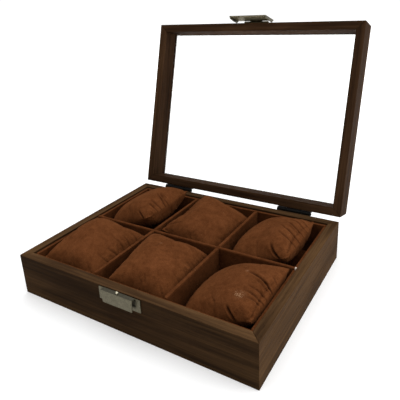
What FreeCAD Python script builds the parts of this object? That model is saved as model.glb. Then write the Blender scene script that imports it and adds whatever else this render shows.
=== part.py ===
"""Six-slot watch box with a glazed lid that stands open.

Frame: millimetres, +Z up, X along the long front, Y from front to back. The origin
is the centre of the underside. Every lid piece is drawn shut, then swung open about
the hinge pin by LID_OPEN_DEG.
"""
import FreeCAD, Part
import math
import os

# Driving dimensions
BOX_W = 255.0          # outside, left to right
BOX_D = 204.0          # outside, front to back
WALL_H = 43.0          # lower box, table to rim
LID_H = 27.0           # lid frame, rim to top
WALL_T = 9.0           # wall and lid rail thickness
SHUT_GAP = 0.4         # air line between rim and lid when shut
LID_OPEN_DEG = 106.0   # how far the lid stands open

RABBET = 4.5           # step under the walls for the bottom, depth and height
FELT_T = 1.5
FLOOR_T = 2.0          # suede-covered card on the bottom
LINER_T = 3.0
LINER_TOP = 41.0
DIVIDER_T = 3.0
DIVIDER_TOP = 42.7
DIVIDER_END = 0.3      # air between the long divider's ends and the walls
TONGUE_H = 12.0        # height of the long divider's end tongues, which sit in notches in the liners
SLOT_PITCH = 78.0      # between the two cross dividers
LAP_AIR = 0.1          # air each side in the half laps
FIT = 0.1              # air round panels in their seats

GLASS_T = 2.0
GLASS_BITE = 3.0       # how far the pane sits into each rail
GLASS_UNDER = 22.5     # rim side of the lid to the pane

HINGE_X = 77.0
HINGE_W = 38.0
LEAF_T = 1.2
LEAF_H = 13.0
BARREL_R = 2.6
PIN_R = 1.0
PIN_OFFSET = 3.0       # pin axis behind the back face
OUTER_KNUCKLE = 0.26   # share of the hinge width of each outer knuckle
KNUCKLE_AIR = 0.3
RUNNING_AIR = 0.05     # radial clearance of a turning knuckle
TIGHT_AIR = 0.02       # radial clearance of a pin held in its own leaf

SCREW_R = 1.1
SCREW_HEAD_R = 2.0
SCREW_LENGTH = 7.0
PILOT_AIR = 0.05

PLATE_T = 1.0          # brass sheet of catch and hasp
CATCH_W = 45.2
CATCH_LOW = 29.6
CATCH_HIGH = 41.8
CATCH_LIP_W = 34.4
CATCH_DEPTH = 4.5      # front wall to the outer face of the catch
CATCH_TAPER = 1.2      # narrowing of the catch's front towards its lower edge
NUB_R = 1.1

HASP_W = 45.0
HASP_LOW = 31.0
HASP_PLATE_LOW = 50.0
HASP_PLATE_HIGH = 67.0
HASP_PIN_Z = 58.0
HASP_PIN_OUT = 3.1     # pin axis in front of the lid's face
HASP_BARREL_R = 1.8
HASP_PIN_R = 0.7
HASP_KNUCKLE_W = 15.0
HASP_BARRELS_W = 30.0
FLAP_T = 0.8

PILLOW_W = 70.0
PILLOW_D = 79.0
PILLOW_TOP = 55.0
HIGH_SEAM_Z = 43.0     # raised end seam of a leaning pillow
LOW_SEAM_Z = 16.0
PILLOW_AIR = 0.3       # air under a pillow

# Worked out
HALF_W = BOX_W / 2
HALF_D = BOX_D / 2
INSIDE_W = HALF_W - WALL_T
INSIDE_D = HALF_D - WALL_T
FLOOR_Z = RABBET + FLOOR_T
LID_Z = WALL_H + SHUT_GAP
PIN_Y = HALF_D + PIN_OFFSET
PIN_Z = WALL_H + SHUT_GAP / 2
HASP_PIN_Y = -HALF_D - HASP_PIN_OUT

parts = {}


def block(x0, x1, y0, y1, z0, z1):
    """A box between two corners."""
    return Part.makeBox(x1 - x0, y1 - y0, z1 - z0, FreeCAD.Vector(x0, y0, z0))


def prism(points, length, direction):
    """A closed outline of points pushed along a direction."""
    corners = [FreeCAD.Vector(*point) for point in points]
    outline = Part.makePolygon(corners + corners[:1])
    return Part.Face(outline).extrude(FreeCAD.Vector(*direction) * length)


def rod_x(radius, x0, x1, y, z):
    """A round rod along X."""
    return Part.makeCylinder(radius, x1 - x0, FreeCAD.Vector(x0, y, z), FreeCAD.Vector(1, 0, 0))


def arc(start, middle, end):
    """An arc edge through three points."""
    return Part.Arc(*[FreeCAD.Vector(*point) for point in (start, middle, end)]).toShape()


def line(start, end):
    """A straight edge."""
    return Part.LineSegment(FreeCAD.Vector(*start), FreeCAD.Vector(*end)).toShape()


def opened(shape):
    """A lid piece, drawn shut, swung to where the lid stands open."""
    turned = shape.copy()
    turned.rotate(FreeCAD.Vector(0, PIN_Y, PIN_Z), FreeCAD.Vector(1, 0, 0), -LID_OPEN_DEG)
    return turned


def mitred_frame(z0, height):
    """Four rails whose ends meet at 45 degrees, as front, back, left and right."""
    outer = {
        "front": [(-HALF_W, -HALF_D), (HALF_W, -HALF_D)],
        "back": [(HALF_W, HALF_D), (-HALF_W, HALF_D)],
        "left": [(-HALF_W, HALF_D), (-HALF_W, -HALF_D)],
        "right": [(HALF_W, -HALF_D), (HALF_W, HALF_D)],
    }
    rails = {}
    for side, (first, second) in outer.items():
        inner = [(math.copysign(INSIDE_W, x), math.copysign(INSIDE_D, y)) for x, y in (second, first)]
        corners = [(x, y, z0) for x, y in [first, second] + inner]
        rails[side] = prism(corners, height, (0, 0, 1))
    return rails


def screw(x, y, z, inward, air=0.0):
    """A countersunk wood screw whose flat head lies at (x, y, z), driven along Y."""
    place = FreeCAD.Vector(x, y, z)
    way = FreeCAD.Vector(0, inward, 0)
    head_depth = SCREW_HEAD_R - SCREW_R
    head = Part.makeCone(SCREW_HEAD_R + air, SCREW_R + air, head_depth, place, way)
    shank = Part.makeCylinder(SCREW_R + air, SCREW_LENGTH + air - head_depth, place + way * head_depth, way)
    return head.fuse(shank).removeSplitter()


def screw_group(places, inward):
    """Identical screws in one node, and the cutter for their holes."""
    screws = Part.makeCompound([screw(*place, inward) for place in places])
    holes = Part.makeCompound([screw(*place, inward, PILOT_AIR) for place in places])
    return screws, holes


def make_case():
    """Walls, bottom, felt and floor card."""
    step = block(-HALF_W + RABBET, HALF_W - RABBET, -HALF_D + RABBET, HALF_D - RABBET, 0, RABBET)
    for side, wall in mitred_frame(0, WALL_H).items():
        parts[f"wall_{side}"] = wall.cut(step)
    seat_w = HALF_W - RABBET - FIT
    seat_d = HALF_D - RABBET - FIT
    parts["base_felt"] = block(-seat_w, seat_w, -seat_d, seat_d, 0, FELT_T)
    parts["bottom_panel"] = block(-seat_w, seat_w, -seat_d, seat_d, FELT_T, RABBET)
    floor_w = INSIDE_W - FIT
    floor_d = INSIDE_D - FIT
    parts["floor_card"] = block(-floor_w, floor_w, -floor_d, floor_d, RABBET, FLOOR_Z)


def make_liners():
    """Suede-covered boards against the four walls."""
    inner_w = INSIDE_W - LINER_T
    inner_d = INSIDE_D - LINER_T
    parts["liner_front"] = block(-INSIDE_W, INSIDE_W, -INSIDE_D, -inner_d, FLOOR_Z, LINER_TOP)
    parts["liner_back"] = block(-INSIDE_W, INSIDE_W, inner_d, INSIDE_D, FLOOR_Z, LINER_TOP)
    half_notch = DIVIDER_T / 2 + LAP_AIR
    notch_low = DIVIDER_TOP - TONGUE_H - LAP_AIR
    notches = block(-INSIDE_W, INSIDE_W, -half_notch, half_notch, notch_low, LINER_TOP)
    left = block(-INSIDE_W, -inner_w, -inner_d, inner_d, FLOOR_Z, LINER_TOP)
    right = block(inner_w, INSIDE_W, -inner_d, inner_d, FLOOR_Z, LINER_TOP)
    parts["liner_left"] = left.cut(notches)
    parts["liner_right"] = right.cut(notches)


def make_dividers():
    """One long divider with end tongues and two cross dividers, half lapped into each other."""
    half_t = DIVIDER_T / 2
    half_lap = half_t + LAP_AIR
    middle = (FLOOR_Z + DIVIDER_TOP) / 2
    tongue_end = INSIDE_W - DIVIDER_END
    long_end = tongue_end - LINER_T
    cross_end = INSIDE_D - LINER_T
    long_board = block(-long_end, long_end, -half_t, half_t, FLOOR_Z, DIVIDER_TOP)
    tongue_low = DIVIDER_TOP - TONGUE_H
    long_board = long_board.fuse(block(-tongue_end, tongue_end, -half_t, half_t, tongue_low, DIVIDER_TOP))
    long_board = long_board.removeSplitter()
    for side, x in (("left", -SLOT_PITCH / 2), ("right", SLOT_PITCH / 2)):
        notch_below = block(x - half_lap, x + half_lap, -half_t, half_t, FLOOR_Z, middle + LAP_AIR)
        long_board = long_board.cut(notch_below)
        cross = block(x - half_t, x + half_t, -cross_end, cross_end, FLOOR_Z, DIVIDER_TOP)
        notch_above = block(x - half_t, x + half_t, -half_lap, half_lap, middle - LAP_AIR, DIVIDER_TOP)
        parts[f"divider_cross_{side}"] = cross.cut(notch_above)
    parts["divider_long"] = long_board


def hinge_leaf(x, above, knuckles, other_knuckles, bore_air):
    """A leaf on the back face with its own knuckles; above is +1 for the lid's and -1 for the box's."""
    near = PIN_Z + above * 1.0
    far = PIN_Z + above * (1.0 + LEAF_H)
    leaf = block(x - HINGE_W / 2, x + HINGE_W / 2, HALF_D, HALF_D + LEAF_T, min(near, far), max(near, far))
    for x0, x1 in other_knuckles:
        swing = rod_x(BARREL_R + KNUCKLE_AIR, x0 - KNUCKLE_AIR, x1 + KNUCKLE_AIR, PIN_Y, PIN_Z)
        leaf = leaf.cut(swing)
    for x0, x1 in knuckles:
        leaf = leaf.fuse(rod_x(BARREL_R, x0, x1, PIN_Y, PIN_Z))
    bore = rod_x(PIN_R + bore_air, x - HINGE_W, x + HINGE_W, PIN_Y, PIN_Z)
    return leaf.cut(bore).removeSplitter()


def make_hinges():
    """Two butt hinges on the back faces, each of two leaves and a pin, with their screws."""
    screw_x = HINGE_W * 0.32
    box_screw_z = PIN_Z - 1.0 - LEAF_H * 0.55
    lid_screw_z = PIN_Z + 1.0 + LEAF_H * 0.55
    face = HALF_D + LEAF_T
    hinge_centres = {"left": -HINGE_X, "right": HINGE_X}
    screw_columns = [x + offset for x in hinge_centres.values() for offset in (-screw_x, screw_x)]
    box_screws, box_holes = screw_group([(x, face, box_screw_z) for x in screw_columns], -1)
    lid_screws, lid_holes = screw_group([(x, face, lid_screw_z) for x in screw_columns], -1)
    for side, x in hinge_centres.items():
        split = HINGE_W * (0.5 - OUTER_KNUCKLE)
        outer = [(x - HINGE_W / 2, x - split), (x + split, x + HINGE_W / 2)]
        inner = [(x - split + KNUCKLE_AIR, x + split - KNUCKLE_AIR)]
        parts[f"hinge_leaf_box_{side}"] = hinge_leaf(x, -1, outer, inner, TIGHT_AIR).cut(box_holes)
        parts[f"hinge_leaf_lid_{side}"] = opened(hinge_leaf(x, 1, inner, outer, RUNNING_AIR).cut(lid_holes))
        pin = rod_x(PIN_R, x - HINGE_W / 2, x + HINGE_W / 2, PIN_Y, PIN_Z)
        for end in (-1, 1):
            base = FreeCAD.Vector(x + end * HINGE_W / 2, PIN_Y, PIN_Z)
            head = Part.makeCone(PIN_R * 1.6, PIN_R, 0.7, base, FreeCAD.Vector(end, 0, 0))
            pin = pin.fuse(head)
        parts[f"hinge_pin_{side}"] = pin.removeSplitter()
    parts["hinge_screws_box"] = box_screws
    parts["hinge_screws_lid"] = opened(lid_screws)
    parts["wall_back"] = parts["wall_back"].cut(box_holes)
    return lid_holes


def make_catch():
    """The brass catch on the front wall: back plate, bridge and tapered front, with a nub on top."""
    face = -HALF_D
    back = block(-CATCH_W / 2, CATCH_W / 2, face - PLATE_T, face, CATCH_LOW, CATCH_HIGH)
    front_y = face - CATCH_DEPTH
    top = CATCH_HIGH + PLATE_T / 2
    half = CATCH_LIP_W / 2
    bridge = block(-half, half, front_y, face - PLATE_T / 2, top - PLATE_T, top)
    low_half = half - CATCH_TAPER
    front_low = CATCH_LOW + 0.6
    outline = [
        (-half, front_y, top),
        (half, front_y, top),
        (low_half, front_y, front_low),
        (-low_half, front_y, front_low),
    ]
    front = prism(outline, PLATE_T * 0.8, (0, 1, 0))
    screw_x = (CATCH_W + CATCH_LIP_W) / 4
    screw_z = (CATCH_LOW + CATCH_HIGH) / 2
    screws, holes = screw_group([(side * screw_x, face - PLATE_T, screw_z) for side in (-1, 1)], 1)
    parts["catch_plate"] = back.fuse(bridge).fuse(front).removeSplitter().cut(holes)
    parts["catch_screws"] = screws
    parts["wall_front"] = parts["wall_front"].cut(holes)
    stem = Part.makeCylinder(NUB_R * 0.6, NUB_R, FreeCAD.Vector(0, face - CATCH_DEPTH * 0.62, top))
    ball = Part.makeSphere(NUB_R, FreeCAD.Vector(0, face - CATCH_DEPTH * 0.62, top + NUB_R * 1.05))
    parts["catch_nub"] = stem.fuse(ball).removeSplitter()


def make_lid(hinge_holes):
    """Mitred rails and the pane in their groove."""
    pane_low = LID_Z + GLASS_UNDER
    pane_w = INSIDE_W + GLASS_BITE
    pane_d = INSIDE_D + GLASS_BITE
    groove = block(-pane_w, pane_w, -pane_d, pane_d, pane_low, pane_low + GLASS_T)
    rails = {side: rail.cut(groove) for side, rail in mitred_frame(LID_Z, LID_H).items()}
    rails["back"] = rails["back"].cut(hinge_holes)
    rails["front"] = rails["front"].cut(make_hasp())
    for side, rail in rails.items():
        parts[f"lid_rail_{side}"] = opened(rail)
    pane = block(-pane_w + FIT, pane_w - FIT, -pane_d + FIT, pane_d - FIT, pane_low, pane_low + GLASS_T)
    parts["glass_pane"] = opened(pane)


def make_hasp():
    """Back plate, pin, screws and swinging flap on the lid's front; returns the screw holes."""
    face = -HALF_D
    half_knuckle = HASP_KNUCKLE_W / 2
    half_barrels = HASP_BARRELS_W / 2
    ranges = [(-half_barrels, -half_knuckle - KNUCKLE_AIR), (half_knuckle + KNUCKLE_AIR, half_barrels)]
    plate = block(-CATCH_W / 2, CATCH_W / 2, face - PLATE_T, face, HASP_PLATE_LOW, HASP_PLATE_HIGH)
    for x0, x1 in ranges:
        web_top = HASP_PIN_Z + HASP_BARREL_R
        plate = plate.fuse(block(x0, x1, HASP_PIN_Y, face - PLATE_T / 2, web_top - PLATE_T, web_top))
        plate = plate.fuse(rod_x(HASP_BARREL_R, x0, x1, HASP_PIN_Y, HASP_PIN_Z))
    plate = plate.cut(rod_x(HASP_PIN_R + TIGHT_AIR, -CATCH_W, CATCH_W, HASP_PIN_Y, HASP_PIN_Z))
    screw_x = (CATCH_W + CATCH_LIP_W) / 4
    screw_z = HASP_PLATE_HIGH - 4.0
    screws, holes = screw_group([(side * screw_x, face - PLATE_T, screw_z) for side in (-1, 1)], 1)
    parts["hasp_plate"] = opened(plate.removeSplitter().cut(holes))
    parts["hasp_screws"] = opened(screws)
    parts["hasp_pin"] = opened(rod_x(HASP_PIN_R, -half_barrels - 0.6, half_barrels + 0.6, HASP_PIN_Y, HASP_PIN_Z))
    parts["hasp_flap"] = opened(hasp_flap(half_knuckle))
    return holes


def hasp_flap(half_knuckle):
    """A shallow brass tray that hangs from the pin and covers the catch when shut."""
    inner_y = HASP_PIN_Y - HASP_BARREL_R + 0.2
    outer_y = inner_y - FLAP_T
    half = HASP_W / 2
    plate_high = HASP_PIN_Z - HASP_BARREL_R - 0.2
    flap = block(-half, half, outer_y, inner_y, HASP_LOW, plate_high)
    flap = flap.fuse(block(-half_knuckle, half_knuckle, outer_y, inner_y, plate_high - 1.0, HASP_PIN_Z))
    flap = flap.fuse(rod_x(HASP_BARREL_R, -half_knuckle, half_knuckle, HASP_PIN_Y, HASP_PIN_Z))
    cheek_back = -HALF_D - PLATE_T - 0.6
    for x in (-half, half - FLAP_T):
        outline = [
            (x, inner_y - FLAP_T / 2, HASP_LOW + FLAP_T / 2),
            (x, cheek_back - 1.2, HASP_LOW + 2.0),
            (x, cheek_back, HASP_LOW + 12.0),
            (x, cheek_back, plate_high - 5.0),
            (x, inner_y - FLAP_T / 2, plate_high),
        ]
        flap = flap.fuse(prism(outline, FLAP_T, (1, 0, 0)))
    bore = rod_x(HASP_PIN_R + RUNNING_AIR, -half, half, HASP_PIN_Y, HASP_PIN_Z)
    return flap.removeSplitter().cut(bore)


def leaning_profile(high):
    """Outline in X and Z of a pillow that leans in its slot, its raised seam on the side high (+1 or -1)."""
    def at(across, z):
        return (high * PILLOW_W / 2 * across, 0, z)
    foot = FLOOR_Z + PILLOW_AIR
    edges = [
        line(at(-0.7, foot), at(0.15, foot)),
        arc(at(0.15, foot), at(0.75, foot + 12.0), at(1, HIGH_SEAM_Z - 4.0)),
        line(at(1, HIGH_SEAM_Z - 4.0), at(1, HIGH_SEAM_Z)),
        arc(at(1, HIGH_SEAM_Z), at(0.78, PILLOW_TOP - 3.5), at(0.4, PILLOW_TOP)),
        arc(at(0.4, PILLOW_TOP), at(-0.4, PILLOW_TOP - 13.5), at(-1, LOW_SEAM_Z)),
        line(at(-1, LOW_SEAM_Z), at(-0.7, foot)),
    ]
    return Part.Face(Part.Wire(edges))


def rounded_profile():
    """Outline in Y and Z of a pillow: flat foot, bulged front and back, crowned top."""
    def at(along, z):
        return (0, PILLOW_D / 2 * along, z)
    foot = FLOOR_Z + PILLOW_AIR
    chin = foot + 16.0
    shoulder = PILLOW_TOP - 17.0
    edges = [
        line(at(-0.6, foot), at(0.6, foot)),
        arc(at(0.6, foot), at(0.89, foot + 6.4), at(1, chin)),
        line(at(1, chin), at(1, shoulder)),
        arc(at(1, shoulder), at(0, PILLOW_TOP), at(-1, shoulder)),
        line(at(-1, shoulder), at(-1, chin)),
        arc(at(-1, chin), at(-0.89, foot + 6.4), at(-0.6, foot)),
    ]
    return Part.Face(Part.Wire(edges))


def make_pillows():
    """Six loose pillows, one in each slot, each leaning up to the left or to the right."""
    leans_right = [("front", "right"), ("back", "left"), ("back", "right")]
    slot_y = (DIVIDER_T / 2 + INSIDE_D - LINER_T) / 2
    through = rounded_profile()
    through.translate(FreeCAD.Vector(-PILLOW_W / 2, 0, 0))
    bulge_through = through.extrude(FreeCAD.Vector(PILLOW_W, 0, 0))
    for row, y in (("front", -slot_y), ("back", slot_y)):
        for column, x in (("left", -SLOT_PITCH), ("middle", 0), ("right", SLOT_PITCH)):
            across = leaning_profile(1 if (row, column) in leans_right else -1)
            across.translate(FreeCAD.Vector(0, -PILLOW_D / 2, 0))
            pillow = across.extrude(FreeCAD.Vector(0, PILLOW_D, 0)).common(bulge_through)
            parts[f"pillow_{row}_{column}"] = pillow.translated(FreeCAD.Vector(x, y, 0))


def main():
    """Build every piece and write one STEP file for each."""
    make_case()
    make_liners()
    make_dividers()
    lid_holes = make_hinges()
    make_catch()
    make_lid(lid_holes)
    make_pillows()
    os.makedirs("parts", exist_ok=True)
    for name, shape in parts.items():
        shape.exportStep(f"parts/{name}.step")


main()
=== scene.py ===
"""Six-slot walnut watch box with a glazed lid standing open and six suede pillows.

Metres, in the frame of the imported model. The CAD nodes keep their shapes and get
eased edges and finishes here; the six pillows are sewn and filled here.
"""
import bpy
import math
from collections import namedtuple
import numpy as np
from mathutils import Euler, Matrix, Vector


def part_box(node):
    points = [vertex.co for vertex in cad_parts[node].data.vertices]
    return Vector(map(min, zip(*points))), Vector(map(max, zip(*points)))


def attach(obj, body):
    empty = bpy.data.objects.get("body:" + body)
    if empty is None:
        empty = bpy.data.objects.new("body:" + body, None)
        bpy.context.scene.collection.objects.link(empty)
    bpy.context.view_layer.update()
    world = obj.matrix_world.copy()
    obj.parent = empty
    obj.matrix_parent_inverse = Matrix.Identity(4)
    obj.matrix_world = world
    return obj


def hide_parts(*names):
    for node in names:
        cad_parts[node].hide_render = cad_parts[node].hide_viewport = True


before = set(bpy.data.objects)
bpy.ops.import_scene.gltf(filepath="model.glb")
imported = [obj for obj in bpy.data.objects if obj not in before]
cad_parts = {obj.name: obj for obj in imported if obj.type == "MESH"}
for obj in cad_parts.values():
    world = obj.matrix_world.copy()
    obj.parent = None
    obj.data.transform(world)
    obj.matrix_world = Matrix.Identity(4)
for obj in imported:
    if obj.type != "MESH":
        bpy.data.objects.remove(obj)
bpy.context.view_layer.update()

MM = 0.001
LID_OPEN = math.radians(106.0)

# Camera: where it stands, how far it is turned, dipped and rolled
CAMERA_AT = (0.2330, -0.3376, 0.2703)
CAMERA_TURN = math.radians(32.966)
CAMERA_DIP = math.radians(19.481)
CAMERA_ROLL = math.radians(-3.111)
LENS_MM = 40.9
SHIFT = (0.0197, -0.0975)

# Pillows
SEED = 7
PILLOW_WIDTH = 70 * MM
PILLOW_DEPTH = 79 * MM
SHEET_COLUMNS = 52
SHEET_ROWS = 56
REFINE = 3
SIM_SCALE = 10.0         # the filling is worked out on a pattern ten times as large
SIM_FRAMES = 24
WAVES = 6                # long waves that make each pattern a little uneven
POUCH_WIDTH = 72 * MM
POUCH_DEPTH = 77 * MM
POUCH_THICK = 33 * MM
SWELL_CAP = 3.5 * MM     # the furthest the cloth may move while it fills
SEAM_GATHER = 0.06       # how much shorter the end seams are drawn up than the cloth beside them
SNUG = 1.02              # a filled pillow's depth over its nominal one, before the boards press it
SIDE_ROOM = 1.2 * MM     # how far past its nominal half width a pillow may reach
END_ROOM = 1.5 * MM      # the same along its depth
BOARD_PRESS = 0.8 * MM   # how gently a board flattens a pillow's side
FLOOR_PRESS = 1.5 * MM   # how gently the floor card flattens its underside
HOLLOW_WIDTH = 3         # mm: a crease this wide or wider is a hollow, and gets no shade

# How each pillow was dropped into its slot: degrees up to the right, degrees up at the
# back, degrees turned to the left, then its width, its shift to the right and the height
# of its middle above the floor card, all three in millimetres, and the bow of its ends
Lie = namedtuple("Lie", "right_up back_up turned width shift middle bow")
PILLOW_LIES = {
    "pillow_front_left": Lie(-6, 5, 0, 71, 0, 28, 0.03),
    "pillow_front_middle": Lie(-11, 5, 6, 68, 2.5, 27.5, -0.02),
    "pillow_front_right": Lie(21, 0, 0, 76, 2, 23.5, 0.05),
    "pillow_back_left": Lie(23, 0, 0, 68, -2, 32, 0.05),
    "pillow_back_middle": Lie(-16, 8, -5, 70, 2, 28, -0.05),
    "pillow_back_right": Lie(21, 0, 0, 69, -2.5, 26.5, 0.06),
}

# Creases pressed into each pillow: (depth mm, width mm, points in u and v). Each deepens
# from its first point on; a wide one is a hollow, and a depth under nothing is a swelling.
CREASES = {
    "pillow_front_left": [
        (0.6, 0.8, [(0.60, 0.45), (0.78, 0.50), (0.97, 0.55)]),
        (0.6, 0.8, [(0.55, 0.24), (0.80, 0.28), (0.98, 0.30)]),
        (0.7, 0.8, [(0.46, 0.08), (0.63, 0.10), (0.98, 0.11)]),
        (0.7, 0.8, [(0.56, -0.15), (0.71, -0.15), (0.98, -0.12)]),
        (0.6, 0.8, [(0.50, -0.35), (0.75, -0.38), (0.98, -0.40)]),
    ],
    "pillow_front_middle": [
        (0.4, 0.8, [(0.45, -0.20), (0.68, -0.30), (0.95, -0.36)]),
        (0.4, 0.8, [(0.60, 0.10), (0.78, 0.10), (0.96, 0.12)]),
        (0.3, 0.8, [(-0.20, 0.30), (-0.25, 0.10)]),
    ],
    "pillow_front_right": [
        (1.7, 0.9, [(0.36, 0.14), (0.54, 0.11), (0.72, 0.07), (0.88, 0.04), (1.00, -0.02)]),
        (0.7, 0.8, [(0.62, 0.00), (0.76, -0.02), (0.87, -0.05), (1.00, -0.10)]),
        (0.9, 0.9, [(0.58, -0.17), (0.76, -0.21), (0.90, -0.24), (1.00, -0.28)]),
        (1.0, 0.9, [(0.56, -0.28), (0.76, -0.33), (0.88, -0.38), (1.00, -0.43)]),
        (0.8, 0.9, [(0.64, -0.42), (0.86, -0.46), (1.00, -0.54)]),
        (0.5, 0.8, [(0.85, 0.34), (1.00, 0.25)]),
        (0.6, 0.7, [(0.95, 0.50), (0.93, 0.10), (0.92, -0.40), (0.93, -0.85)]),
        (2.6, 1.0, [(0.36, -0.62), (0.42, -0.75), (0.49, -0.88), (0.55, -1.00)]),
        (-1.4, 7.0, [(0.72, -0.78), (0.88, -0.72)]),
    ],
    "pillow_back_left": [
        (1.0, 0.8, [(0.60, 0.02), (0.77, -0.07), (0.91, -0.15), (1.00, -0.22)]),
        (0.8, 0.8, [(0.66, 0.08), (0.83, -0.02), (1.00, -0.09)]),
        (0.9, 0.9, [(0.66, -0.40), (0.82, -0.48), (1.00, -0.57)]),
        (0.9, 0.9, [(0.66, -0.28), (0.83, -0.35), (1.00, -0.41)]),
        (1.6, 1.0, [(0.48, -0.66), (0.60, -0.82), (0.72, -1.00)]),
        (-1.0, 6.0, [(0.75, -0.75), (0.88, -0.72)]),
    ],
    "pillow_back_middle": [
        (0.6, 0.9, [(-0.40, -0.42), (-0.64, -0.58), (-0.95, -0.82)]),
        (2.6, 10.0, [(-0.45, -0.10), (-0.85, -0.12)]),
    ],
    "pillow_back_right": [
        (1.1, 0.8, [(0.40, 0.04), (0.62, -0.05), (0.80, -0.14), (1.00, -0.22)]),
        (0.9, 0.8, [(0.36, 0.24), (0.60, 0.16), (0.81, 0.10), (1.00, 0.08)]),
        (0.8, 0.8, [(0.38, 0.38), (0.64, 0.33), (0.86, 0.31), (1.00, 0.34)]),
        (0.9, 0.8, [(0.46, -0.16), (0.62, -0.25), (0.77, -0.33), (1.00, -0.45)]),
        (0.6, 0.8, [(0.50, 0.52), (0.80, 0.50), (1.00, 0.53)]),
        (0.6, 0.7, [(0.94, 0.75), (0.92, 0.10), (0.92, -0.40), (0.93, -0.80)]),
        (2.4, 1.1, [(0.46, -0.52), (0.53, -0.68), (0.61, -0.84), (0.74, -1.00)]),
        (-1.2, 7.0, [(0.76, -0.76), (0.90, -0.70)]),
    ],
}

# Pale rubbed spots: (strength, radius mm, u, v)
SCUFFS = {
    "pillow_front_right": [(0.9, 2.6, 0.58, -0.42), (0.6, 1.4, 0.50, -0.40), (0.8, 1.0, 0.38, 0.14)],
    "pillow_front_middle": [(0.6, 0.9, -0.22, 0.20)],
}

# Finishes
WOOD_EDGE = 0.5 * MM
LINER_EDGE = 1.1 * MM
DIVIDER_EDGE = 1.2 * MM
CATCH_EDGE = 0.2 * MM
METAL_EDGE = 0.15 * MM
PAINTED_RIM_HIGHLIGHT_BAND = 0.7 * MM       # how far below the walls' tops their painted rim highlight begins
PAINTED_HIGHLIGHT_ABOVE = 40.0 * MM  # the height from which the boards' suede is painted paler, a painted highlight on its top edges
RAW_END = 1.6 * MM        # how much bare board shows at the long divider's right end
GRAIN_RELIEF = 0.06 * MM
NAP_RELIEF = 0.18 * MM
SUEDE_GLOSS = {"Specular_IOR_Level": 0.0, "Sheen_Weight": 0.05, "Sheen_Roughness": 0.45,
               "Sheen_Tint": (0.8, 0.4, 0.2, 1)}

# Surroundings
WORLD_LIGHT = 0.35
WORLD_SEEN = 1.05         # the world's strength where the camera looks straight at it
FLOOR_HALF = 6.0
GLOW_REACH = (0.2, 0.9)   # the floor's glow grows between these distances from the middle
GLOW = (0.2, 0.7)         # and its strength grows from the first of these to the second
SOFTBOXES = {             # where it is, where it is aimed, its side and its power in watts
    "top_softbox": ((0.3, 0.6, 2.5), (0.3, 0.6, 0), 6.0, 150.0),
    "right_softbox": ((1.1, 0.2, 0.5), (0, 0, 0.03), 0.6, 4.0),
}


# ---------------------------------------------------------------- node helpers

class Graph:
    """Adds nodes to a tree and links them by socket name."""

    def __init__(self, tree):
        self.tree = tree

    def add(self, kind, inputs=(), **settings):
        node = self.tree.nodes.new(kind)
        for name, value in settings.items():
            setattr(node, name, value)
        for name, value in dict(inputs).items():
            if isinstance(value, bpy.types.NodeSocket):
                self.tree.links.new(value, node.inputs[name])
            else:
                node.inputs[name].default_value = value
        return node

    def link(self, value, socket):
        self.tree.links.new(value, socket)

    def noise(self, vector, scale, detail, roughness=0.5, distortion=0.0):
        inputs = {"Vector": vector, "Scale": scale, "Detail": detail,
                  "Roughness": roughness, "Distortion": distortion}
        return self.add("ShaderNodeTexNoise", inputs).outputs["Fac"]

    def stretch(self, vector, scale):
        return self.add("ShaderNodeMapping", {"Vector": vector, "Scale": scale}).outputs["Vector"]

    def math(self, operation, first, second, third=0.0):
        inputs = {0: first, 1: second, 2: third}
        return self.add("ShaderNodeMath", inputs, operation=operation).outputs[0]

    def span(self, value, low, high, to_low=0.0, to_high=1.0):
        inputs = {"Value": value, "From Min": low, "From Max": high,
                  "To Min": to_low, "To Max": to_high}
        return self.add("ShaderNodeMapRange", inputs).outputs["Result"]

    def weigh(self, *parts):
        """The sum of value times weight over pairs of both."""
        total = None
        for value, weight in parts:
            part = self.math("MULTIPLY", value, weight)
            total = part if total is None else self.math("ADD", total, part)
        return total

    def mix(self, factor, first, second):
        node = self.add("ShaderNodeMix", data_type="RGBA")
        for index, value in ((0, factor), (6, first), (7, second)):
            if isinstance(value, bpy.types.NodeSocket):
                self.tree.links.new(value, node.inputs[index])
            else:
                node.inputs[index].default_value = value
        return node.outputs[2]

    def brighten(self, color, where, gain):
        """color times 1 + gain where the mask is 1."""
        scale = self.math("MULTIPLY_ADD", where, gain, 1.0)
        scaled = self.add("ShaderNodeVectorMath", {0: color, "Scale": scale}, operation="SCALE")
        return scaled.outputs["Vector"]

    def above(self, height, over):
        """A mask that rises from 0 to 1 over a short way above a height."""
        place = self.add("ShaderNodeTexCoord").outputs["Object"]
        level = self.add("ShaderNodeSeparateXYZ", {"Vector": place}).outputs["Z"]
        return self.span(level, height, height + over)

    def bump(self, height, distance):
        return self.add("ShaderNodeBump", {"Height": height, "Distance": distance}).outputs["Normal"]


def new_group(name, inputs, outputs):
    """A shader node group with named sockets; returns its graph, its inputs and its finisher."""
    tree = bpy.data.node_groups.new(name, "ShaderNodeTree")
    for socket, kind, default in inputs:
        made = tree.interface.new_socket(name=socket, in_out="INPUT", socket_type=kind)
        if default is not None:
            made.default_value = default
    for socket, kind in outputs:
        tree.interface.new_socket(name=socket, in_out="OUTPUT", socket_type=kind)
    graph = Graph(tree)
    entry = graph.add("NodeGroupInput").outputs
    exit_node = graph.add("NodeGroupOutput")

    def finish(**values):
        for socket, value in values.items():
            graph.link(value, exit_node.inputs[socket])
        return tree

    return graph, entry, finish


FLOAT = "NodeSocketFloat"
COLOR = "NodeSocketColor"
VECTOR = "NodeSocketVector"


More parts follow.
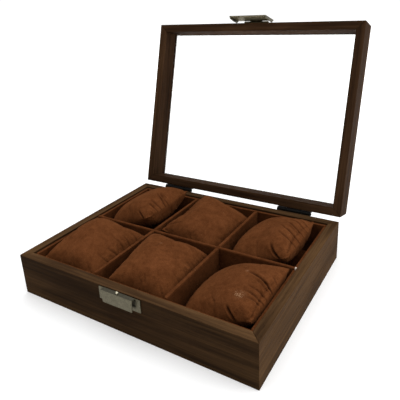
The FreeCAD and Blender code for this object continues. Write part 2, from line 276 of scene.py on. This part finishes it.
def grain_group():
    """Walnut veneer whose grain runs along X of the vector it is given.

    Colour is a wide band noise plus a streak noise, both stretched along the grain,
    darkened by short pore dashes and by fine dark lines; height follows the pores.
    """
    graph, entry, finish = new_group(
        "walnut_grain",
        [("Vector", VECTOR, None), ("Dark", COLOR, (0.02, 0.011, 0.007, 1)),
         ("Light", COLOR, (0.1, 0.06, 0.035, 1))],
        [("Color", COLOR), ("Roughness", FLOAT), ("Height", FLOAT)],
    )
    vector = entry["Vector"]
    bands = graph.noise(graph.stretch(vector, (5, 55, 55)), 1.0, 3.0, 0.5, 0.6)
    streaks = graph.noise(graph.stretch(vector, (9, 330, 330)), 1.0, 5.0, 0.65, 0.3)
    lines = graph.noise(graph.stretch(vector, (16, 900, 900)), 1.0, 3.0, 0.6)
    pores = graph.noise(graph.stretch(vector, (110, 2600, 2600)), 1.0, 2.0, 0.5)
    pore_mask = graph.span(pores, 0.60, 0.72)
    tone = graph.span(graph.weigh((bands, 0.55), (streaks, 0.45)), 0.36, 0.64)
    tone = graph.math("MULTIPLY", tone, graph.span(lines, 0.3, 0.62, 0.55, 1.0))
    tone = graph.math("SUBTRACT", tone, graph.math("MULTIPLY", pore_mask, 0.35))
    clear = graph.add("ShaderNodeClamp", {"Value": tone}).outputs["Result"]
    color = graph.mix(clear, entry["Dark"], entry["Light"])
    roughness = graph.span(streaks, 0.3, 0.7, 0.55, 0.72)
    height = graph.math("SUBTRACT", graph.math("MULTIPLY", streaks, 0.4), pore_mask)
    return finish(Color=color, Roughness=roughness, Height=height)


def nap_group():
    """Brushed suede: fine nap, brushed patches a few millimetres wide, and rare pale flecks."""
    graph, entry, finish = new_group(
        "suede_nap",
        [("Vector", VECTOR, None), ("Deep", COLOR, (0.06, 0.02, 0.01, 1)),
         ("Raised", COLOR, (0.2, 0.08, 0.03, 1))],
        [("Color", COLOR), ("Roughness", FLOAT), ("Height", FLOAT)],
    )
    vector = entry["Vector"]
    patches = graph.noise(vector, 60.0, 4.0, 0.6, 0.8)
    clouds = graph.noise(vector, 230.0, 4.0, 0.6, 0.5)
    fibres = graph.noise(vector, 1500.0, 3.0, 0.7)
    pile = graph.noise(vector, 4200.0, 2.0, 0.6)
    tone = graph.span(graph.weigh((patches, 0.3), (clouds, 0.3), (fibres, 0.4)), 0.36, 0.64)
    color = graph.mix(tone, entry["Deep"], entry["Raised"])
    flecks = graph.span(graph.noise(vector, 900.0, 2.0, 0.5), 0.73, 0.79, 0.0, 0.5)
    color = graph.mix(flecks, color, (0.42, 0.22, 0.11, 1))
    height = graph.weigh((fibres, 0.6), (pile, 0.4), (clouds, 0.8))
    roughness = graph.span(clouds, 0.3, 0.7, 0.82, 0.95)
    return finish(Color=color, Roughness=roughness, Height=height)


def patina_group():
    """Antiqued metal: cloudy tarnish, brushed hairlines along X and small dark pits."""
    graph, entry, finish = new_group(
        "patina",
        [("Vector", VECTOR, None), ("Tarnish", COLOR, (0.1, 0.1, 0.07, 1)),
         ("Metal", COLOR, (0.4, 0.37, 0.27, 1))],
        [("Color", COLOR), ("Roughness", FLOAT), ("Height", FLOAT)],
    )
    vector = entry["Vector"]
    clouds = graph.noise(vector, 700.0, 5.0, 0.65, 0.4)
    hair = graph.noise(graph.stretch(vector, (120, 6000, 6000)), 1.0, 2.0, 0.6)
    pits = graph.span(graph.noise(vector, 1800.0, 2.0, 0.5), 0.66, 0.74)
    tone = graph.span(graph.weigh((clouds, 0.75), (hair, 0.25)), 0.25, 0.72)
    tone = graph.math("SUBTRACT", tone, graph.math("MULTIPLY", pits, 0.4))
    clear = graph.add("ShaderNodeClamp", {"Value": tone}).outputs["Result"]
    color = graph.mix(clear, entry["Tarnish"], entry["Metal"])
    roughness = graph.span(clouds, 0.3, 0.7, 0.5, 0.32)
    height = graph.math("SUBTRACT", graph.math("MULTIPLY", hair, 0.3), pits)
    return finish(Color=color, Roughness=roughness, Height=height)


GRAIN = grain_group()
NAP = nap_group()
PATINA = patina_group()


def new_material(name, **values):
    """A material with one Principled shader whose plain sockets are set directly."""
    material = bpy.data.materials.new(name)
    material.use_nodes = True
    graph = Graph(material.node_tree)
    shader = material.node_tree.nodes["Principled BSDF"]
    for socket, value in values.items():
        shader.inputs[socket.replace("_", " ")].default_value = value
    return material, graph, shader


def place_pattern(graph, turn=0.0, spin=0.0, at=(0, 0, 0)):
    """Object coordinates, turned about X and then about Z, and moved."""
    place = graph.add("ShaderNodeTexCoord").outputs["Object"]
    turned = graph.add("ShaderNodeMapping", {"Vector": place, "Rotation": (turn, 0, 0)})
    inputs = {"Vector": turned.outputs["Vector"], "Rotation": (0, 0, spin), "Location": at}
    return graph.add("ShaderNodeMapping", inputs).outputs["Vector"]


def use_group(graph, shader, group, vector, first, second, relief):
    """Puts a group's colour, roughness and height into the shader, and returns the group's node."""
    names = [item.name for item in group.interface.items_tree if item.in_out == "INPUT"]
    node = graph.add("ShaderNodeGroup", node_tree=group)
    graph.link(vector, node.inputs["Vector"])
    node.inputs[names[1]].default_value = first
    node.inputs[names[2]].default_value = second
    graph.link(node.outputs["Color"], shader.inputs["Base Color"])
    graph.link(node.outputs["Roughness"], shader.inputs["Roughness"])
    graph.link(graph.bump(node.outputs["Height"], relief), shader.inputs["Normal"])
    return node


# ------------------------------------------------------------------- finishes

def walnut(name, turn, spin, at, dark, light, rim=None, gain=0.0):
    """Satin walnut veneer, its grain along the board, and its rim above a height painted paler by gain,
    a painted highlight.
    """
    material, graph, shader = new_material(name, Specular_IOR_Level=0.01)
    vector = place_pattern(graph, turn, spin, at)
    node = use_group(graph, shader, GRAIN, vector, dark, light, GRAIN_RELIEF)
    if rim is not None:
        # painted highlight: the rim's top is brightened by gain, standing in for the light from above
        color = graph.brighten(node.outputs["Color"], graph.above(rim, 0.6 * MM), gain)
        graph.link(color, shader.inputs["Base Color"])
    return material


def suede(name, deep, raised, raw_from=None):
    """Rust-brown microsuede over board, painted paler along its top edges as a painted highlight.

    Past raw_from along X, a cut end shows the pale raw board.
    """
    material, graph, shader = new_material(name, **SUEDE_GLOSS)
    vector = place_pattern(graph)
    node = use_group(graph, shader, NAP, vector, deep, raised, NAP_RELIEF)
    # painted highlight: the boards' tops are brightened as if lit from above
    color = graph.brighten(node.outputs["Color"], graph.above(PAINTED_HIGHLIGHT_ABOVE, 1.0 * MM), 0.3)
    if raw_from is not None:
        along = graph.add("ShaderNodeSeparateXYZ", {"Vector": vector}).outputs["X"]
        raw = graph.span(along, raw_from, raw_from + 0.3 * MM)
        fibre = graph.noise(vector, 2500.0, 3.0, 0.6)
        board = graph.mix(fibre, (0.42, 0.34, 0.27, 1), (0.75, 0.66, 0.56, 1))
        color = graph.mix(raw, color, board)
    graph.link(color, shader.inputs["Base Color"])
    return material


def pillow_suede(name, deep, raised):
    """Suede darkened in its creases by painted shade, and rubbed pale in spots."""
    material, graph, shader = new_material(name, **SUEDE_GLOSS)
    vector = place_pattern(graph)
    node = use_group(graph, shader, NAP, vector, deep, raised, NAP_RELIEF)
    shade = graph.add("ShaderNodeAttribute", attribute_name="painted_crease_shade").outputs["Fac"]
    shade = graph.math("MULTIPLY", shade, 0.75)
    # painted shade: the colour goes towards near black where shade falls in the creases
    color = graph.mix(shade, node.outputs["Color"], (0.006, 0.0018, 0.0008, 1))
    scuff = graph.add("ShaderNodeAttribute", attribute_name="scuff").outputs["Fac"]
    crumbs = graph.span(graph.noise(vector, 1300.0, 3.0, 0.6), 0.5, 0.66)
    color = graph.mix(graph.math("MULTIPLY", scuff, crumbs), color, (0.42, 0.25, 0.14, 1))
    graph.link(color, shader.inputs["Base Color"])
    return material


def brass(name, turn, painted_shade_above=None, painted_light_side=None):
    """Grey-green antiqued brass: painted shade above a height, and painted light on the side that faces
    one way.
    """
    material, graph, shader = new_material(name, Metallic=0.85, Specular_IOR_Level=0.5)
    node = use_group(graph, shader, PATINA, place_pattern(graph, turn),
                     (0.066, 0.058, 0.035, 1), (0.140, 0.124, 0.080, 1), 0.02 * MM)
    color = node.outputs["Color"]
    if painted_shade_above is not None:
        # painted shade: the colour above this height is darkened where the top face gets less light
        color = graph.brighten(color, graph.above(painted_shade_above, 0.2 * MM), -0.55)
    if painted_light_side is not None:
        normal = graph.add("ShaderNodeTexCoord").outputs["Normal"]
        facing = graph.add("ShaderNodeVectorMath", {0: normal, 1: painted_light_side}, operation="DOT_PRODUCT")
        # painted light: faces turned this way are brightened as if lit
        color = graph.brighten(color, graph.span(facing.outputs["Value"], 0.7, 0.9), 4.0)
    graph.link(color, shader.inputs["Base Color"])
    return material


def polished_brass():
    """Brass rubbed bright where it is touched."""
    material, graph, shader = new_material("polished_brass", Metallic=1.0)
    use_group(graph, shader, PATINA, place_pattern(graph),
              (0.42, 0.38, 0.26, 1), (0.85, 0.80, 0.62, 1), 0.01 * MM)
    return material


def black_steel():
    """Black lacquered steel with faint rubbed spots."""
    material, graph, shader = new_material("black_steel", Specular_IOR_Level=0.05)
    use_group(graph, shader, PATINA, place_pattern(graph),
              (0.0015, 0.0014, 0.0013, 1), (0.005, 0.0045, 0.004, 1), 0.02 * MM)
    return material


def felt():
    """Short dark felt."""
    material, graph, shader = new_material("felt", Specular_IOR_Level=0.1, Sheen_Weight=0.4)
    use_group(graph, shader, NAP, place_pattern(graph),
              (0.012, 0.009, 0.008, 1), (0.04, 0.032, 0.028, 1), 0.3 * MM)
    return material


def fibreboard():
    """Plain brown fibreboard."""
    material, graph, shader = new_material("fibreboard", Specular_IOR_Level=0.2)
    use_group(graph, shader, NAP, place_pattern(graph),
              (0.18, 0.11, 0.06, 1), (0.34, 0.23, 0.14, 1), 0.1 * MM)
    return material


def clear_glass():
    """Thin clear pane with a faint smear in its gloss."""
    material, graph, shader = new_material("clear_glass", Transmission_Weight=1.0, IOR=1.45, Alpha=0.12)
    shader.inputs["Base Color"].default_value = (0.96, 0.99, 0.975, 1)
    smear = graph.noise(place_pattern(graph), 25.0, 3.0, 0.5)
    graph.link(graph.span(smear, 0.4, 0.8, 0.01, 0.06), shader.inputs["Roughness"])
    return material


# ----------------------------------------------------------- CAD node finishes

def ease_edges(node, width, segments):
    """Joins a node's loose triangles and rounds its edges."""
    weld = node.modifiers.new("weld", "WELD")
    weld.merge_threshold = 0.01 * MM
    bevel = node.modifiers.new("ease", "BEVEL")
    bevel.width = width
    bevel.segments = segments
    bevel.limit_method = "ANGLE"
    bevel.angle_limit = math.radians(35)
    bevel.use_clamp_overlap = False


def dress(node_name, material, edge=0.0, segments=2):
    """Gives a CAD node its finish, and eased edges where edge is more than nothing."""
    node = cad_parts[node_name]
    node.data.materials.clear()
    node.data.materials.append(material)
    if edge:
        ease_edges(node, edge, segments)


def dress_wood():
    """Each board has its own cut of veneer, so no two match.

    The table of walls holds how light each wall's veneer is painted, lighter on the lit right wall and
    darker on the shaded front, and how much painted rim highlight it gets.
    """
    quarter = math.pi / 2
    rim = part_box("wall_front")[1].z - PAINTED_RIM_HIGHLIGHT_BAND
    # painted light and shade: each wall's tone stands in for how the light falls on its side, and its
    # gain for its painted rim highlight
    painted_wall_light = {"front": (0.85, 1.5), "back": (0.9, 0.4), "left": (1.0, 0.8), "right": (1.35, 0.1)}
    for index, (side, (tone, gain)) in enumerate(painted_wall_light.items()):
        spin = 0.0 if side in ("front", "back") else quarter
        shift = (0.37 * index, 0.21 * index, 0.11 * index)
        dark = tuple(value * tone for value in (0.018, 0.0092, 0.0042)) + (1,)
        light = tuple(value * tone for value in (0.074, 0.039, 0.0165)) + (1,)
        board = walnut(f"walnut_wall_{side}", 0.0, spin, shift, dark, light, rim, gain)
        dress(f"wall_{side}", board, WOOD_EDGE)
        lid_shift = (0.31 + 0.41 * index, 0.17 * index, 0.05 + 0.13 * index)
        rail = walnut(f"walnut_lid_{side}", LID_OPEN, spin, lid_shift,
                      (0.015, 0.0072, 0.0036, 1), (0.062, 0.031, 0.0145, 1))
        dress(f"lid_rail_{side}", rail, WOOD_EDGE)


def dress_lining():
    """Suede on liners, dividers and floor card."""
    deep = (0.036, 0.0115, 0.0036, 1)
    raised = (0.095, 0.0320, 0.0110, 1)
    boards = suede("suede_boards", deep, raised)
    for side in ("front", "back", "left", "right"):
        dress(f"liner_{side}", boards, LINER_EDGE, 3)
    for side in ("left", "right"):
        dress(f"divider_cross_{side}", boards, DIVIDER_EDGE, 3)
    dress("floor_card", boards)
    raw_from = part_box("divider_long")[1].x - RAW_END
    dress("divider_long", suede("suede_divider_long", deep, raised, raw_from), DIVIDER_EDGE, 3)


def dress_metal():
    """Black hinges, and antiqued brass on catch and hasp."""
    black = black_steel()
    for side in ("left", "right"):
        for part in ("hinge_leaf_box", "hinge_leaf_lid"):
            dress(f"{part}_{side}", black, METAL_EDGE)
        dress(f"hinge_pin_{side}", black)
    dress("hinge_screws_box", black)
    dress("hinge_screws_lid", black)
    # The catch's top face gets painted shade.
    low = brass("brass_catch", 0.0, painted_shade_above=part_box("catch_plate")[1].z - 0.25 * MM)
    dress("catch_plate", low, CATCH_EDGE)
    dress("catch_screws", low)
    dress("catch_nub", polished_brass())
    # The hasp's inner side gets painted light.
    inwards = (0, math.cos(LID_OPEN), -math.sin(LID_OPEN))
    high = brass("brass_hasp", LID_OPEN, painted_light_side=inwards)
    for node_name, edge in (("hasp_plate", METAL_EDGE), ("hasp_flap", METAL_EDGE),
                            ("hasp_pin", 0.0), ("hasp_screws", 0.0)):
        dress(node_name, high, edge)


def dress_rest():
    """Glass, felt and bottom board."""
    dress("glass_pane", clear_glass())
    dress("base_felt", felt())
    dress("bottom_panel", fibreboard())


# -------------------------------------------------------------------- pillows

def sheet_grid(columns, rows):
    """u and v from -1 to 1 over a grid, u across the pillow and v along it."""
    return np.meshgrid(np.linspace(-1, 1, columns + 1), np.linspace(-1, 1, rows + 1), indexing="ij")


def sheet_faces(columns, rows):
    """Quads of two sheets that share their border, and each sheet's grid of point numbers.

    The lower sheet's border points are the upper sheet's, so the pair is one closed skin.
    """
    count = (columns + 1) * (rows + 1)
    upper = np.arange(count).reshape(columns + 1, rows + 1)
    lower = upper.copy()
    inside = np.arange((columns - 1) * (rows - 1)).reshape(columns - 1, rows - 1)
    lower[1:-1, 1:-1] = count + inside

    def quads(index):
        corners = (index[:-1, :-1], index[1:, :-1], index[1:, 1:], index[:-1, 1:])
        return np.stack(corners, -1).reshape(-1, 4)

    return np.concatenate([quads(upper), quads(lower)[:, ::-1]]), upper, lower


def skin_object(name, upper, lower):
    """A closed mesh object from the two sheets' points, each (columns+1, rows+1, 3)."""
    columns, rows = upper.shape[0] - 1, upper.shape[1] - 1
    faces, _, _ = sheet_faces(columns, rows)
    points = np.concatenate([upper.reshape(-1, 3), lower[1:-1, 1:-1].reshape(-1, 3)])
    mesh = bpy.data.meshes.new(name)
    mesh.from_pydata(points.tolist(), [], faces.tolist())
    mesh.polygons.foreach_set("use_smooth", np.ones(len(mesh.polygons), bool))
    mesh.update()
    made = bpy.data.objects.new(name, mesh)
    bpy.context.scene.collection.objects.link(made)
    return made


def sewn_pouch(seed, bow):
    """A pillow before filling: two sheets sewn at their edges, smaller than the finished pillow.

    At u its section is an oval a(u) wide and h(u) high, h = H (1 - |u|^2.3)^0.62 and
    a = A (0.93 + 0.07 u^2), so the ends are pinched flat and stay wider than the body. Each
    end bows outwards by a share bow (1 - v^2) |u|^3, and is drawn in by 0.04 v^4 towards
    its corners. Across the section, the place goes from sin(pi v / 2) in the body to v at
    the ends, and the height is cos(pi v / 2)^0.85. A few long waves make it uneven.
    """
    u, v = sheet_grid(SHEET_COLUMNS, SHEET_ROWS)
    random = np.random.default_rng(SEED + seed)
    pinch = np.abs(u)**2.3
    high = POUCH_THICK / 2 * (1 - pinch)**0.62
    wide = POUCH_DEPTH / 2 * (0.93 + 0.07 * u**2)
    body = 1 - np.abs(u)**3
    across = body * np.sin(math.pi / 2 * v) + (1 - body) * v
    dome = np.cos(math.pi / 2 * v)**0.85 * high
    wobble = np.zeros_like(u)
    for _ in range(WAVES):
        along_u, along_v = random.uniform(-5, 5), random.uniform(-5, 5)
        phase = random.uniform(0, 2 * math.pi)
        wobble += 0.035 * np.sin(along_u * u + along_v * v + phase) * dome
    x = POUCH_WIDTH / 2 * u * (1 - 0.04 * v**4 + bow * (1 - v**2) * np.abs(u)**3)
    upper = np.stack([x, wide * across, dome + wobble], -1) * SIM_SCALE
    lower = np.stack([x, wide * across, -dome + wobble], -1) * SIM_SCALE
    return upper, lower


def fill_pattern(upper, lower):
    """Blows the sewn pattern up with cloth pressure, its end seams drawn up.

    Returns the two filled sheets. A point that the cloth moved by d ends up moved by
    S tanh(d / S), with S the swelling cap.
    """
    pattern = skin_object("pattern", upper, lower)
    _, upper_index, lower_index = sheet_faces(SHEET_COLUMNS, SHEET_ROWS)
    seam = pattern.vertex_groups.new(name="seam")
    for depth, weight in enumerate((1.0, 0.6, 0.25)):
        for index in (upper_index, lower_index):
            ring = np.concatenate([index[depth], index[-1 - depth]])
            seam.add(ring.tolist(), weight, "REPLACE")
    cloth = pattern.modifiers.new("fill", "CLOTH")
    settings = cloth.settings
    settings.quality = 5
    settings.mass = 0.3
    settings.tension_stiffness = 30
    settings.compression_stiffness = 20
    settings.shear_stiffness = 8
    settings.bending_stiffness = 0.15
    settings.vertex_group_shrink = "seam"
    settings.shrink_min = 0.0
    settings.shrink_max = SEAM_GATHER
    settings.air_damping = 3
    settings.use_pressure = True
    settings.uniform_pressure_force = 6
    settings.effector_weights.gravity = 0
    cloth.collision_settings.use_collision = False
    cloth.point_cache.frame_start = 1
    cloth.point_cache.frame_end = SIM_FRAMES
    scene = bpy.context.scene
    for frame_number in range(1, SIM_FRAMES + 1):
        scene.frame_set(frame_number)
    evaluated = pattern.evaluated_get(bpy.context.evaluated_depsgraph_get())
    points = np.zeros(len(evaluated.data.vertices) * 3, np.float32)
    evaluated.data.vertices.foreach_get("co", points)
    points = points.reshape(-1, 3).astype(float)
    bpy.data.objects.remove(pattern)
    scene.frame_set(1)
    filled = []
    for before, after in ((upper, points[upper_index]), (lower, points[lower_index])):
        moved = (after - before) / SIM_SCALE
        far = np.linalg.norm(moved, axis=-1, keepdims=True)
        held = np.tanh(far / SWELL_CAP) * SWELL_CAP / np.maximum(far, 1e-9)
        filled.append(before / SIM_SCALE + moved * held)
    return filled


def refine(sheet, times):
    """Puts more points between the grid's, times as many each way.

    Between p1 and p2, with p0 and p3 beyond them, the point at t from 0 to 1 is the
    Catmull-Rom cubic ((a t + b) t + c) t + p1.
    """
    for axis in (0, 1):
        grid = np.moveaxis(sheet, axis, 0)
        before = np.concatenate([2 * grid[:1] - grid[1:2], grid, 2 * grid[-1:] - grid[-2:-1]])
        p0, p1, p2, p3 = before[:-3], before[1:-2], before[2:-1], before[3:]
        pieces = []
        for step in range(times):
            t = step / times
            a = -0.5 * p0 + 1.5 * p1 - 1.5 * p2 + 0.5 * p3
            b = p0 - 2.5 * p1 + 2 * p2 - 0.5 * p3
            c = 0.5 * (p2 - p0)
            pieces.append(((a * t + b) * t + c) * t + p1)
        fine = np.stack(pieces, 1).reshape((-1,) + grid.shape[1:])
        fine = np.concatenate([fine, grid[-1:]])
        sheet = np.moveaxis(fine, 0, axis)
    return sheet


def crease_pull(u, v, points, width):
    """How strongly a crease acts at u, v: its cross-profile times a rise along it.

    The crease is a chain of straight pieces through points. With d the distance to it in
    millimetres and w its width, the profile is exp(-(d/w)^1.3) less a third of
    exp(-((d-2w)/w)^2), so cloth rolls up a little on both sides. The rise is
    sin(pi s / 2), with s going from 0 to 1 over the first 0.6 of the chain.
    """
    across, along = PILLOW_WIDTH / 2 / MM, PILLOW_DEPTH / 2 / MM
    spots = np.array(points, float) * (across, along)
    place = np.stack([u * across, v * along], -1)
    steps = np.diff(spots, axis=0)
    reach = np.linalg.norm(steps, axis=1)
    starts = np.concatenate([[0], np.cumsum(reach)])
    nearest = np.full(u.shape, 1e9)
    travelled = np.zeros(u.shape)
    for start, step, length, so_far in zip(spots[:-1], steps, reach, starts):
        share = np.clip((place - start) @ step / length**2, 0, 1)
        away = np.linalg.norm(place - start - share[..., None] * step, axis=-1)
        closer = away < nearest
        nearest = np.where(closer, away, nearest)
        travelled = np.where(closer, so_far + share * length, travelled)
    fade = np.sin(math.pi / 2 * np.clip(travelled / starts[-1] / 0.6, 0, 1))
    rolls = np.exp(-((nearest - 2 * width) / width)**2)
    return (np.exp(-(nearest / width)**1.3) - 0.33 * rolls) * fade


def press_creases(sheet, creases):
    """Presses creases into a sheet, and returns it with how much painted shade each point gets.

    Each point goes in along its normal by the sum of depth times pull over the creases,
    which falls to nothing over the last sixteenth before the seam. The shade is that sum
    over the narrow creases only, held between 0 and 1.
    """
    u, v = sheet_grid(sheet.shape[0] - 1, sheet.shape[1] - 1)
    normal = np.cross(np.gradient(sheet, axis=0), np.gradient(sheet, axis=1))
    normal /= np.maximum(np.linalg.norm(normal, axis=-1, keepdims=True), 1e-12)
    depth = np.zeros_like(u)
    shade = np.zeros_like(u)
    for deep, width, points in creases:
        pull = deep * crease_pull(u, v, points, width)
        depth += pull
        if width < HOLLOW_WIDTH:
            shade += pull
    rim = np.clip(16 * (1 - np.maximum(np.abs(u), np.abs(v))), 0, 1)
    return sheet - normal * (depth * rim * MM)[..., None], np.clip(shade / 1.1, 0, 1)


def rub_scuffs(u, v, scuffs):
    """How rubbed each point is: the sum of round spots s exp(-(d/r)^2), d in millimetres."""
    across, along = PILLOW_WIDTH / 2 / MM, PILLOW_DEPTH / 2 / MM
    rubbed = np.zeros_like(u)
    for strong, radius, at_u, at_v in scuffs:
        away = ((u - at_u) * across)**2 + ((v - at_v) * along)**2
        rubbed += strong * np.exp(-away / radius**2)
    return rubbed


def paint(piece, name, values):
    """Stores values on a piece's upper sheet, and nothing on its lower one, as a point attribute."""
    all_values = np.zeros(len(piece.data.vertices))
    all_values[:values.size] = values.ravel()
    piece.data.attributes.new(name, "FLOAT", "POINT").data.foreach_set("value", all_values)


def soft_floor(z, floor, softness):
    """The larger of z and floor, its corner rounded: floor + s log(1 + exp((z - floor) / s))."""
    return floor + softness * np.logaddexp(0, (z - floor) / softness)


def soft_limit(value, limit, softness):
    """value held between -limit and limit, with the corners rounded over softness."""
    return soft_floor(-soft_floor(-value, -limit, softness), -limit, softness)


def lay_in_slot(sheet, node):
    """Turns a filled pillow as it lies and fits it between the slot's floor and boards."""
    low_corner, high_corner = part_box(node)
    centre = (low_corner + high_corner) / 2
    lie = PILLOW_LIES[node]
    angles = [math.radians(lie.back_up), -math.radians(lie.right_up), math.radians(lie.turned)]
    placed = sheet @ np.array(Euler(angles).to_matrix()).T
    x, y, z = np.moveaxis(placed, -1, 0)
    x = soft_limit(x + lie.shift * MM, PILLOW_WIDTH / 2 + SIDE_ROOM, BOARD_PRESS) + centre.x
    y = soft_limit(y, PILLOW_DEPTH / 2 + END_ROOM, BOARD_PRESS) + centre.y
    z = soft_floor(z + low_corner.z + lie.middle * MM, low_corner.z, FLOOR_PRESS)
    return np.stack([x, y, z], -1)


def make_pillow(index, node, cover):
    """One pillow: sewn, filled, refined, creased, laid in its slot and covered."""
    lie = PILLOW_LIES[node]
    fill = fill_pattern
    upper, lower = fill(*sewn_pouch(index, lie.bow))
    size = upper.max((0, 1)) - upper.min((0, 1))
    scale = np.array([lie.width * MM / size[0], PILLOW_DEPTH * SNUG / size[1], 1.0])
    upper, lower = refine(upper * scale, REFINE), refine(lower * scale, REFINE)
    upper, shade = press_creases(upper, CREASES[node])
    upper, lower = lay_in_slot(upper, node), lay_in_slot(lower, node)
    pillow = skin_object("suede_" + node, upper, lower)
    pillow.data.materials.append(cover)
    # painted shade for the narrow creases
    paint(pillow, "painted_crease_shade", shade)
    u, v = sheet_grid(upper.shape[0] - 1, upper.shape[1] - 1)
    paint(pillow, "scuff", rub_scuffs(u, v, SCUFFS.get(node, [])))
    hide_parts(node)
    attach(pillow, node)


def make_pillows():
    """The six pillows."""
    cover = pillow_suede("suede_pillow_cloth", (0.060, 0.0190, 0.0058, 1), (0.140, 0.0480, 0.0165, 1))
    nodes = sorted(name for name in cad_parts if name.startswith("pillow_"))
    for index, node in enumerate(nodes):
        make_pillow(index, node, cover)


# ------------------------------------------------- camera, lights and surroundings

def make_camera():
    """A camera to the right of the box, looking down into it."""
    turn, dip = CAMERA_TURN, CAMERA_DIP
    forward = Vector((-math.sin(turn) * math.cos(dip), math.cos(turn) * math.cos(dip), -math.sin(dip)))
    level = Vector((math.cos(turn), math.sin(turn), 0))
    upright = level.cross(forward)
    right = level * math.cos(CAMERA_ROLL) + upright * math.sin(CAMERA_ROLL)
    up = right.cross(forward)
    data = bpy.data.cameras.new("camera")
    data.lens = LENS_MM
    data.sensor_width = 36.0
    data.shift_x, data.shift_y = SHIFT
    data.clip_start = 0.01
    camera = bpy.data.objects.new("camera", data)
    columns = [tuple(right), tuple(up), tuple(-forward)]
    camera.matrix_world = Matrix.Translation(CAMERA_AT) @ Matrix(columns).transposed().to_4x4()
    bpy.context.scene.collection.objects.link(camera)
    bpy.context.scene.camera = camera


def area_light(name, at, target, size, power):
    """A square softbox aimed at a point."""
    data = bpy.data.lights.new(name, "AREA")
    data.shape = "SQUARE"
    data.size = size
    data.energy = power
    light = bpy.data.objects.new(name, data)
    way = Vector(target) - Vector(at)
    light.matrix_world = Matrix.Translation(at) @ way.to_track_quat("-Z", "Y").to_matrix().to_4x4()
    bpy.context.scene.collection.objects.link(light)


def make_surroundings():
    """A pale floor that glows more further out, a pale world and two softboxes."""
    world = bpy.data.worlds.new("studio")
    bpy.context.scene.world = world
    world.use_nodes = True
    background = world.node_tree.nodes["Background"]
    graph = Graph(world.node_tree)
    seen = graph.add("ShaderNodeLightPath").outputs["Is Camera Ray"]
    background.inputs["Color"].default_value = (1, 1, 1, 1)
    graph.link(graph.span(seen, 0, 1, WORLD_LIGHT, WORLD_SEEN), background.inputs["Strength"])
    mesh = bpy.data.meshes.new("floor")
    corners = [(x * FLOOR_HALF, y * FLOOR_HALF, 0) for x, y in ((-1, -1), (1, -1), (1, 1), (-1, 1))]
    mesh.from_pydata(corners, [], [(0, 1, 2, 3)])
    floor = bpy.data.objects.new("floor", mesh)
    bpy.context.scene.collection.objects.link(floor)
    material, graph, shader = new_material("pale_floor", Roughness=0.9, Specular_IOR_Level=0.0)
    shader.inputs["Base Color"].default_value = (0.9, 0.9, 0.9, 1)
    shader.inputs["Emission Color"].default_value = (1, 1, 1, 1)
    place = graph.add("ShaderNodeTexCoord").outputs["Object"]
    away = graph.add("ShaderNodeVectorMath", {0: place}, operation="LENGTH").outputs["Value"]
    graph.link(graph.span(away, *GLOW_REACH, *GLOW), shader.inputs["Emission Strength"])
    mesh.materials.append(material)
    for name, softbox in SOFTBOXES.items():
        area_light(name, *softbox)
    bpy.context.scene.view_settings.view_transform = "Standard"


make_camera()
make_surroundings()
dress_wood()
dress_lining()
dress_metal()
dress_rest()
make_pillows()
